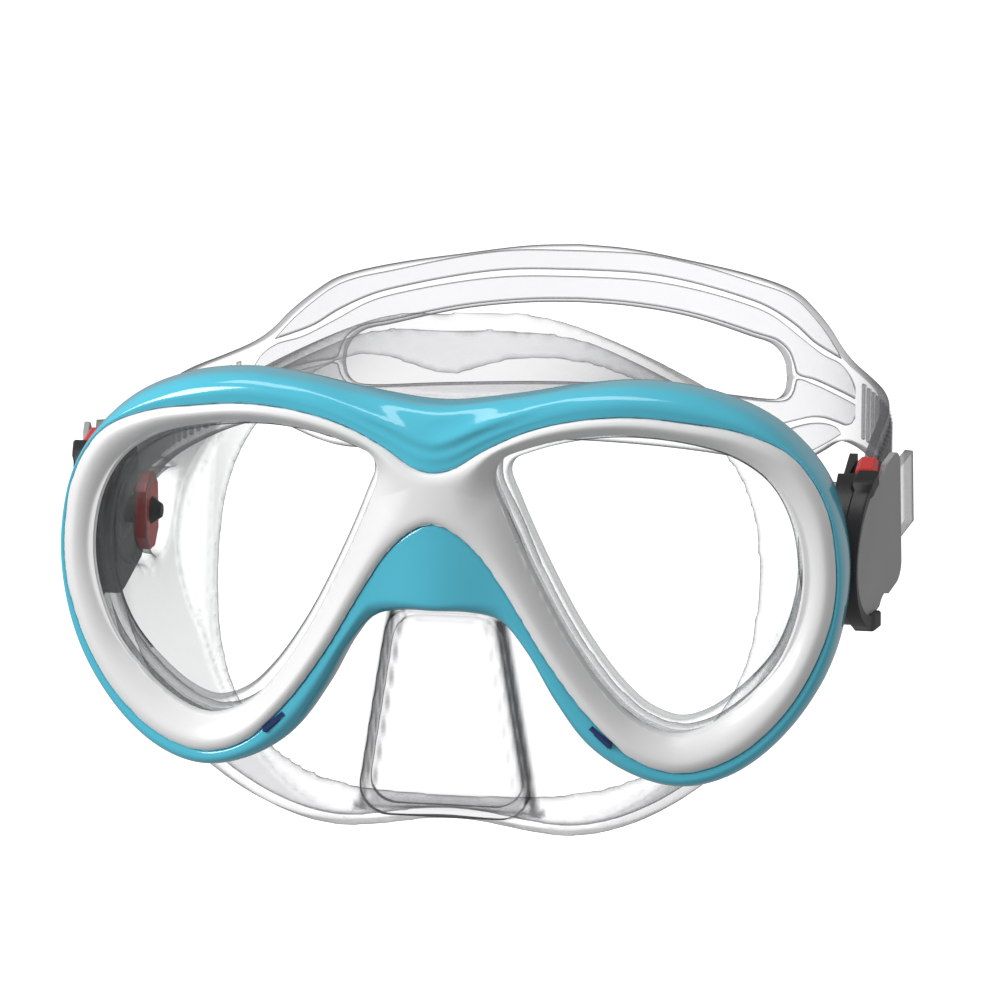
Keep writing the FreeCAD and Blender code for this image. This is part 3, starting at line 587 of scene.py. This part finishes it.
def make_gaskets():
    """The clear seat that shows round the inside of each lens, behind the glass."""
    bm = bmesh.new()
    painted_dark = bm.verts.layers.float.new("line")
    marks = at_share(np.vstack([opening, opening[:1]]), np.linspace(0, 1, 241)[:-1])
    ahead = np.roll(marks, -1, axis=0) - np.roll(marks, 1, axis=0)
    ahead = ahead / np.linalg.norm(ahead, axis=1)[:, None]
    inward = np.stack([ahead[:, 1], -ahead[:, 0]], axis=1)
    if np.dot(inward[0], LENS_HUB - marks[0]) < 0:
        inward = -inward
    first = line = None
    for reach, deep, shade in GASKET_SECTION:
        places = [(x, lens_face(x) + deep, z) for x, z in marks + inward * reach]
        line = start_line(bm, places) if line is None else draw_out(bm, line, places)
        first = first or line
        # Painted shade: a dark line along the seat's inner corner.
        for vert in line[0]:
            vert[painted_dark] = shade
    bmesh.ops.bridge_loops(bm, edges=first[1] + line[1])
    mirror_over(bm)
    settle(bm)
    return bm


piece("lens_gaskets", make_gaskets(), SILICONE, "mask", (), 60)

# ------------------------------------------------------------------ clips of the bezel
CLIP_SIZE, CLIP_TILT = (6.4, 1.6, 1.3), 42
CLIP_X, CLIP_Z = 35.1, -32.0


def make_clips():
    """Small dark tongues of the bezel's clips, in the joint at the bottom of each rim."""
    bm = bmesh.new()
    made = bmesh.ops.create_cube(bm, size=1.0)["verts"]
    bmesh.ops.scale(bm, vec=CLIP_SIZE, verts=made)
    bmesh.ops.bevel(bm, geom=bm.edges[:], offset=0.3, segments=2, affect="EDGES")
    bmesh.ops.rotate(bm, cent=(0, 0, 0), verts=bm.verts[:],
                     matrix=Matrix.Rotation(math.radians(CLIP_TILT), 3, "Y"))
    bmesh.ops.translate(bm, vec=(CLIP_X, wrapped(CLIP_X) + 0.15, CLIP_Z), verts=bm.verts[:])
    mirror_over(bm)
    settle(bm)
    return bm


piece("bezel_clips", make_clips(), DARK_BLUE, "mask", (), 40)

# ------------------------------------------------------------------ clear strap
PIVOT_Y, PIVOT_Z = -9.0, 2.0
TILT = math.radians(13.0)
STRAP_THICK, STRAP_HALF = 1.9, 8.5
# The strap's middle surface: round the roller, back along its tail, and round the head's back.
ROLLER_X, ROLLER_BACK, ROLLER_LOOP = 85.25, 12.0, 2.5
TAIL_SPREAD, TAIL_RUN = 3.4, 16.0
BACK_R, PARALLEL = 82.75, 38.4
# Edges on the round back: (degrees from the middle of the back, z in mm).
STRAP_TOP = [(0, 41.2), (8, 40.7), (19.3, 38.9), (31, 37.3), (38, 36.0), (41.5, 34.9), (45, 32.6),
             (50, 28.6), (54, 24.8), (58, 22.6), (65, 21.1), (75, 20.3), (90, 18.8)]
STRAP_BOTTOM = [(0, -6.3), (20, -6.6), (31, -6.7), (38, -6.3), (42, -5.1), (45.6, -3.1),
                (49.1, -0.5), (53, 2.4), (56, 3.6), (60, 3.9), (65, 3.7), (75, 2.8), (90, 1.6)]
SLOT_TOP = [(0, 27.4), (8, 27.1), (19, 25.8), (32, 22.9), (36.2, 22.2), (38.6, 20.4), (39.8, 18.0),
            (40.2, 15.0)]
SLOT_BOTTOM = [(0, 7.7), (22, 7.7), (36.2, 8.6), (38.6, 9.9), (39.8, 12.0), (40.2, 15.0)]
# Raised panels on the outside: name, upper edge, lower edge.
PANELS = [
    ("strap_panel_top",
     [(0, 39.7), (13, 39.4), (31, 35.7), (38, 34.4), (41.5, 33.0), (46, 29.6), (50, 26.0),
      (53.4, 22.3)],
     [(0, 34.9), (13, 34.6), (29, 31.6), (34.4, 30.2), (40.9, 27.1), (45.5, 24.2), (50.6, 22.7),
      (53.4, 22.2)]),
    ("strap_panel_upper",
     [(0, 33.4), (13, 33.1), (29, 30.3), (35, 28.6), (41.6, 24.8), (47.7, 21.9), (53, 21.0),
      (56, 19.3), (57.8, 17.0), (58.4, 15.0)],
     [(0, 27.9), (8, 27.6), (19, 26.3), (32, 23.4), (36.4, 22.7), (39.2, 20.7), (40.4, 18.2),
      (41.2, 15.7), (45.7, 15.3), (51.5, 14.6), (58.4, 14.0)]),
    ("strap_panel_lower",
     [(0, 7.2), (22, 7.2), (36.5, 8.1), (39.3, 9.4), (40.5, 11.6), (41.2, 14.4), (45.7, 14.2),
      (51.5, 13.4), (58.4, 12.7)],
     [(0, 0.9), (20, 0.9), (31, 1.3), (37.3, 2.7), (40.6, 4.2), (45.1, 6.2), (48.6, 6.9),
      (52.5, 6.9), (55.5, 7.0), (57.6, 8.4), (58.4, 10.4)]),
    ("strap_panel_bottom",
     [(0, -0.2), (20, -0.2), (31, 0.1), (38.8, 1.8), (41.5, 3.3), (45.8, 5.1), (50.1, 5.8),
      (52.5, 5.4), (53.5, 4.5)],
     [(0, -4.8), (31, -5.2), (38, -4.7), (41.5, -3.9), (44.5, -2.3), (48.7, 0.7), (52.3, 3.4),
      (53.5, 4.3)]),
]
PANEL_PROUD, PANEL_EDGE = 0.4, 0.55
SLOT_END, JOIN_DROP = 40.2, 0.35
RIB_PITCH, RIB_WIDE, RIB_PROUD = 3.2, 1.3, 0.8
RIBS_FROM, RIBS_PAST_BACK = 61.5, 17
# Section of a rib: (half width as a share, height above the strap, how much shorter, painted
# shade).
RIB_SECTION = ((0.3, -0.3, 0.5, 0.0), (0.5, 0.0, 0.0, 0.7), (0.32, RIB_PROUD, 0.3, 0.0))


strap_top, strap_bottom = smooth_curve(STRAP_TOP), smooth_curve(STRAP_BOTTOM)


def in_buckle(x, y, z):
    """A point given about the buckle's pivot, tilted, in the mask's frame."""
    return (x, PIVOT_Y + y * math.cos(TILT) - z * math.sin(TILT),
            PIVOT_Z + y * math.sin(TILT) + z * math.cos(TILT))


def edge_height(edge, angle):
    """Height of an edge, given as a smooth curve, at an angle from the middle of the back."""
    return float(np.interp(angle, edge[:, 0], edge[:, 1]))


def on_back(angle, z, proud=0.0):
    """A point on the strap's middle surface, or proud of it."""
    reach, turn = BACK_R + proud, math.radians(angle)
    return (reach * math.sin(turn), PARALLEL + reach * math.cos(turn), z)


def strap_columns():
    """Places down the upper half and the lower half of the strap, from the back to its tail."""
    shares = (0.0, 0.045, 0.2, 0.4, 0.6, 0.8, 0.955, 1.0)
    slot_top, slot_bottom = smooth_curve(SLOT_TOP), smooth_curve(SLOT_BOTTOM)
    columns = []
    for angle in np.concatenate([np.linspace(0, 36, 25), np.linspace(36.5, SLOT_END, 13),
                                 np.linspace(41, 66, 26), np.linspace(68, 90, 12)]):
        top, bottom = edge_height(strap_top, angle), edge_height(strap_bottom, angle)
        if angle < SLOT_END - 0.01:
            high, low = edge_height(slot_top, angle), edge_height(slot_bottom, angle)
        else:
            near_slot = max(0, 1 - (angle - SLOT_END) / 5)
            high = low = (top + bottom) / 2 - JOIN_DROP * near_slot
        columns.append(([on_back(angle, high * r + top * (1 - r)) for r in shares],
                        [on_back(angle, low * (1 - r) + bottom * r) for r in shares]))
    for y in (36.0, 33.0, 30.0, 27.0, 24.0):
        rise = (y - 17.0) / (PARALLEL - 17.0)
        top, bottom = 16.7 + 2.1 * rise, -0.7 + 2.3 * rise
        middle = (top + bottom) / 2
        columns.append(([(BACK_R, y, middle * r + top * (1 - r)) for r in shares],
                        [(BACK_R, y, middle * (1 - r) + bottom * r) for r in shares]))
    path = [(ROLLER_X - ROLLER_LOOP, y) for y in (26.5, 24.0, 21.0, 18.0, 15.0, ROLLER_BACK)]
    for a in np.linspace(0, math.pi, 13)[1:]:
        path.append((ROLLER_X - ROLLER_LOOP * math.cos(a),
                     ROLLER_BACK - ROLLER_LOOP * math.sin(a)))
    for t in np.linspace(0, 1, 9)[1:]:
        path.append((ROLLER_X + ROLLER_LOOP + TAIL_SPREAD * t, ROLLER_BACK + TAIL_RUN * t))
    for x, y in path:
        columns.append(([in_buckle(x, y, STRAP_HALF * (1 - r)) for r in shares],
                        [in_buckle(x, y, -STRAP_HALF * r) for r in shares]))
    return columns


def make_strap():
    """The strap's middle surface, which its modifiers thicken and round."""
    columns = strap_columns()
    bm = bmesh.new()
    for band in (0, 1):
        line = start_line(bm, columns[0][band], closed=False)
        for column in columns[1:]:
            line = draw_out(bm, line, column[band])
    bmesh.ops.remove_doubles(bm, verts=bm.verts[:], dist=0.02)
    geometry = bm.verts[:] + bm.edges[:] + bm.faces[:]
    bmesh.ops.mirror(bm, geom=geometry, axis="X", merge_dist=0.02)
    bmesh.ops.recalc_face_normals(bm, faces=bm.faces[:])
    # Painted shade: a dark line along the strap's edges.
    painted_dark = bm.verts.layers.float.new("line")
    for edge in bm.edges:
        if edge.is_boundary:
            for vert in edge.verts:
                vert[painted_dark] = 0.55
    return bm


def make_panel(upper, lower):
    """A raised panel that follows the strap's back from one side to the other."""
    bm = bmesh.new()
    painted_dark = bm.verts.layers.float.new("line")
    upper, lower = smooth_curve(upper), smooth_curve(lower)
    tip = upper[-1][0]
    base, sunk = STRAP_THICK / 2, STRAP_THICK / 2 - 0.3
    angles = list(np.linspace(0, 36, 25)) + list(np.linspace(36.6, tip, 40))
    ring, first = None, None
    for angle in [-a for a in reversed(angles[1:])] + angles:
        top, bottom = edge_height(upper, abs(angle)), edge_height(lower, abs(angle))
        inset = min(PANEL_EDGE, 0.45 * (top - bottom), 0.8 * (tip - abs(angle)) * 1.44)
        proud = base + PANEL_PROUD * inset / PANEL_EDGE
        places = [on_back(angle, bottom, base), on_back(angle, bottom + inset, proud)]
        places += [on_back(angle, bottom + inset + (top - bottom - 2 * inset) * t, proud)
                   for t in (0.25, 0.5, 0.75)]
        places += [on_back(angle, top - inset, proud), on_back(angle, top, base),
                   on_back(angle, top, sunk), on_back(angle, bottom, sunk)]
        if ring is None:
            ring = first = start_line(bm, places)
        else:
            ring = draw_out(bm, ring, places)
        # Painted shade: dark outlines at the feet of the panel's chamfers.
        for index in (0, 6):
            ring[0][index][painted_dark] = 1.0
    for end in (first, ring):
        bm.faces.new(end[0])
    settle(bm)
    return bm


def make_ribs():
    """Gripping ribs across the strap's ends, with painted shade at their feet."""
    bm = bmesh.new()
    painted_dark = bm.verts.layers.float.new("line")
    quarter = math.radians(90) * BACK_R
    arc = math.radians(RIBS_FROM) * BACK_R
    while arc < quarter + RIBS_PAST_BACK:
        angle = min(math.degrees(arc / BACK_R), 90.0)
        run = max(0.0, arc - quarter)
        top = edge_height(strap_top, angle) - 3.2 - 0.09 * run
        bottom = edge_height(strap_bottom, angle) + 1.5 - 0.1 * run
        turn = math.radians(angle)
        along, out = (math.cos(turn), -math.sin(turn)), (math.sin(turn), math.cos(turn))
        centre = on_back(angle, (top + bottom) / 2, STRAP_THICK / 2)
        tall = (top - bottom) / 2
        rings = []
        for half, high, trim, _ in RIB_SECTION:
            rings.append([(centre[0] + along[0] * half * RIB_WIDE * i + out[0] * high,
                           centre[1] + along[1] * half * RIB_WIDE * i + out[1] * high - run,
                           centre[2] + (tall - trim) * j)
                          for i, j in ((-1, -1), (1, -1), (1, 1), (-1, 1))])
        line = start_line(bm, rings[0])
        bm.faces.new(line[0])
        for ring, (_, _, _, shade) in zip(rings[1:], RIB_SECTION[1:]):
            line = draw_out(bm, line, ring)
            for vert in line[0]:
                vert[painted_dark] = shade
        bm.faces.new(line[0])
        arc += RIB_PITCH
    mirror_over(bm)
    settle(bm)
    return bm


strap = piece("strap_rubber", make_strap(), STRAP_SILICONE, "strap", ["strap_band"],
              40)
solid = strap.modifiers.new("thickness", "SOLIDIFY")
solid.thickness, solid.offset = STRAP_THICK * MM, 0.0
rounded = strap.modifiers.new("edges", "BEVEL")
rounded.width, rounded.segments, rounded.angle_limit = 0.0005, 2, math.radians(60)
for name, upper, lower in PANELS:
    piece(name, make_panel(upper, lower), STRAP_SILICONE, "strap", (), 50)
piece("strap_ribs", make_ribs(), STRAP_SILICONE, "strap", (), 30)

# ------------------------------------------------------------------ buckles
BASE_TOP, EAR_HEIGHT = 81.5, 13.0
COVER_FACE, COVER_SLOPE = 88.1, math.tan(math.radians(11.0))
HOUSING_MIDDLE, RIM_RADIUS = -2.5, 16.5
# Section of the cover's raised rim: (outwards from its middle, proud of the cover).
RIM_SECTION = [(-1.2, -2.6), (1.3, -2.6), (1.75, -2.2), (1.75, 0.6), (1.4, 1.0), (-0.9, 1.0),
               (-1.2, 0.7)]
RIM_ENDS, RIM_STEPS, RIM_END_GROWTH = (97, 263), 45, 1.3
# The lever's finger tabs: (middle above the base plate, thickness, middle height, height).
TABS = ((3.7, 4.4, 15.5, 4.0), (2.8, 2.4, -12.2, 6.8))
TAB_MIDDLE, TAB_LENGTH = 1.5, 7.6


def lowered_ear(bm):
    """Brings the base plate's upper edge down behind the opening at the top."""
    for vert in bm.verts:
        y, z = vert.co.y - PIVOT_Y, vert.co.z - PIVOT_Z
        along = y * math.cos(TILT) + z * math.sin(TILT)
        above = z * math.cos(TILT) - y * math.sin(TILT)
        if along > -3.9 and above > EAR_HEIGHT and abs(vert.co.x) < BASE_TOP + 0.05:
            vert.co = in_buckle(vert.co.x, along, EAR_HEIGHT)


def rounded_copy(node_name, finish, body, width):
    """A CAD node's copy with its sharp edges rounded over."""
    bm = copy_of(node_name)
    if node_name.startswith("buckle_housing"):
        lowered_ear(bm)
    bmesh.ops.dissolve_limit(bm, angle_limit=math.radians(1.0), verts=bm.verts[:],
                             edges=bm.edges[:])
    obj = piece(node_name + "_moulded", bm, finish, body, [node_name], 35)
    edges = obj.modifiers.new("edges", "BEVEL")
    edges.width, edges.segments, edges.angle_limit = width * MM, 3, math.radians(32)
    edges.harden_normals = True


def make_rim(side):
    """The raised rim round the front of the buckle's cover, with a block at each end."""
    path = []
    for degrees in np.linspace(*RIM_ENDS, RIM_STEPS):
        turn = math.radians(degrees)
        path.append((HOUSING_MIDDLE + RIM_RADIUS * math.cos(turn), RIM_RADIUS * math.sin(turn)))
    rings = []
    for mark, (y, z) in enumerate(path):
        at_end = mark < 5 or mark > len(path) - 6
        grow = RIM_END_GROWTH if at_end else 1.0
        out_y, out_z = (y - HOUSING_MIDDLE) / RIM_RADIUS, z / RIM_RADIUS
        rings.append([in_buckle(COVER_FACE + COVER_SLOPE * y + proud * grow,
                                y + out_y * across * grow, z + out_z * across * grow)
                      for across, proud in RIM_SECTION])
    bm = lofted(rings)
    for end in (rings[0], rings[-1]):
        near = [v for v in bm.verts if any((v.co - Vector(p)).length < 1e-4 for p in end)]
        bmesh.ops.contextual_create(bm, geom=near)
    if side == "right":
        bmesh.ops.scale(bm, vec=(-1, 1, 1), verts=bm.verts[:])
    settle(bm, 0.0005)
    return bm


def make_tab(side):
    """The red finger tab that fills the opening at the top of the buckle, and the one below."""
    bm = bmesh.new()
    for proud, thick, level, tall in TABS:
        for vert in bmesh.ops.create_cube(bm, size=1.0)["verts"]:
            x, y, z = vert.co
            vert.co = (BASE_TOP + proud + thick * x, TAB_MIDDLE + TAB_LENGTH * y, level + tall * z)
    bmesh.ops.bevel(bm, geom=bm.edges[:], offset=0.9, segments=1, affect="EDGES")
    for vert in bm.verts:
        vert.co = in_buckle(*vert.co)
        if side == "right":
            vert.co.x = -vert.co.x
    settle(bm)
    return bm


for side in ("left", "right"):
    rounded_copy(f"buckle_housing_{side}", BLACK, f"buckle_{side}", 0.35)
    rounded_copy(f"cover_plate_{side}", GREY, f"buckle_{side}", 0.3)
    rounded_copy(f"release_lever_{side}", RED, f"lever_{side}", 0.2)
    rounded_copy(f"pivot_retainer_{side}", RED, "mask", 0.3)
    piece(f"buckle_rim_{side}", make_rim(side), BLACK, f"buckle_{side}", (), 40)
    piece(f"lever_tab_{side}", make_tab(side), RED, f"lever_{side}", (), 20)

# ------------------------------------------------------------------ carried-over nodes
FINISH_OF = {"lens": GLASS, "pivot_pin": BLACK, "swivel_washer": PALE, "lever_pin": STEEL,
             "lever_spring": STEEL, "roller_axle": STEEL, "strap_roller": BLACK}
for stem, finish in FINISH_OF.items():
    for side in ("left", "right"):
        mesh = nodes[f"{stem}_{side}"].data
        mesh.materials.clear()
        mesh.materials.append(finish)

# ------------------------------------------------------------------ camera, light and floor
TURN_ANGLE, LOOK_DOWN = math.radians(10.5), math.radians(12.5)
AWAY, ASIDE, ABOVE = 1.2, 0.0129, 0.0166
AIM = Vector((0, -0.054, 0))
right = Vector((math.cos(TURN_ANGLE), math.sin(TURN_ANGLE), 0))
back = Vector((math.sin(TURN_ANGLE) * math.cos(LOOK_DOWN),
               -math.cos(TURN_ANGLE) * math.cos(LOOK_DOWN), math.sin(LOOK_DOWN)))
up = back.cross(right)
lens_data = bpy.data.cameras.new("camera")
lens_data.lens, lens_data.sensor_width = 205.2, 36.0
lens_data.clip_start, lens_data.clip_end = 0.05, 20.0
camera = bpy.data.objects.new("camera", lens_data)
turned = Matrix((right, up, back)).transposed().to_4x4()
turned.translation = ASIDE * right + ABOVE * up + AWAY * back + AIM
camera.matrix_world = turned
bpy.context.scene.collection.objects.link(camera)
bpy.context.scene.camera = camera
bpy.context.scene.view_settings.view_transform = "Standard"
bpy.context.scene.cycles.transparent_max_bounces = 32


def softbox(name, place, target, size, power):
    """A rectangular lamp at a place, aimed at a target."""
    data = bpy.data.lights.new(name, "AREA")
    data.shape, data.size, data.size_y, data.energy = "RECTANGLE", size[0], size[1], power
    light = bpy.data.objects.new(name, data)
    light.location = place
    aim = Vector(target) - Vector(place)
    light.rotation_mode = "QUATERNION"
    light.rotation_quaternion = aim.to_track_quat("-Z", "Y")
    bpy.context.scene.collection.objects.link(light)


softbox("key", (-1.1, -0.9, 0.7), (0, -0.03, 0), (0.6, 0.9), 20.0)
softbox("top", (-0.2, -0.3, 1.3), (0, -0.02, 0), (1.2, 0.4), 5.0)
softbox("side", (1.3, 0.2, 0.5), (0, 0, 0), (0.25, 1.0), 1.5)

world = bpy.data.worlds.new("studio")
bpy.context.scene.world = world
world.use_nodes = True
world.node_tree.nodes.clear()
sky = Socket(world.node_tree)
seen = sky.node("LightPath", out="Is Camera Ray")
sky.node("OutputWorld", inputs={"Surface": sky.node("Background", inputs={
    "Color": (1, 1, 1, 1), "Strength": 0.33 + 0.67 * seen})})

bm = bmesh.new()
bmesh.ops.create_grid(bm, x_segments=4, y_segments=4, size=6.0)
bmesh.ops.translate(bm, vec=(0, 0, -0.4), verts=bm.verts[:])
mesh = bpy.data.meshes.new("floor")
bm.to_mesh(mesh)
bm.free()
floor = bpy.data.objects.new("floor", mesh)
bpy.context.scene.collection.objects.link(floor)
mesh.materials.append(finish_named("pale floor", lambda s: s.node("BsdfPrincipled", inputs={
    "Base Color": (0.95, 0.95, 0.95, 1), "Roughness": 0.9,
    "Emission Color": (1, 1, 1, 1), "Emission Strength": 0.9})))
floor.visible_diffuse = floor.visible_glossy = False
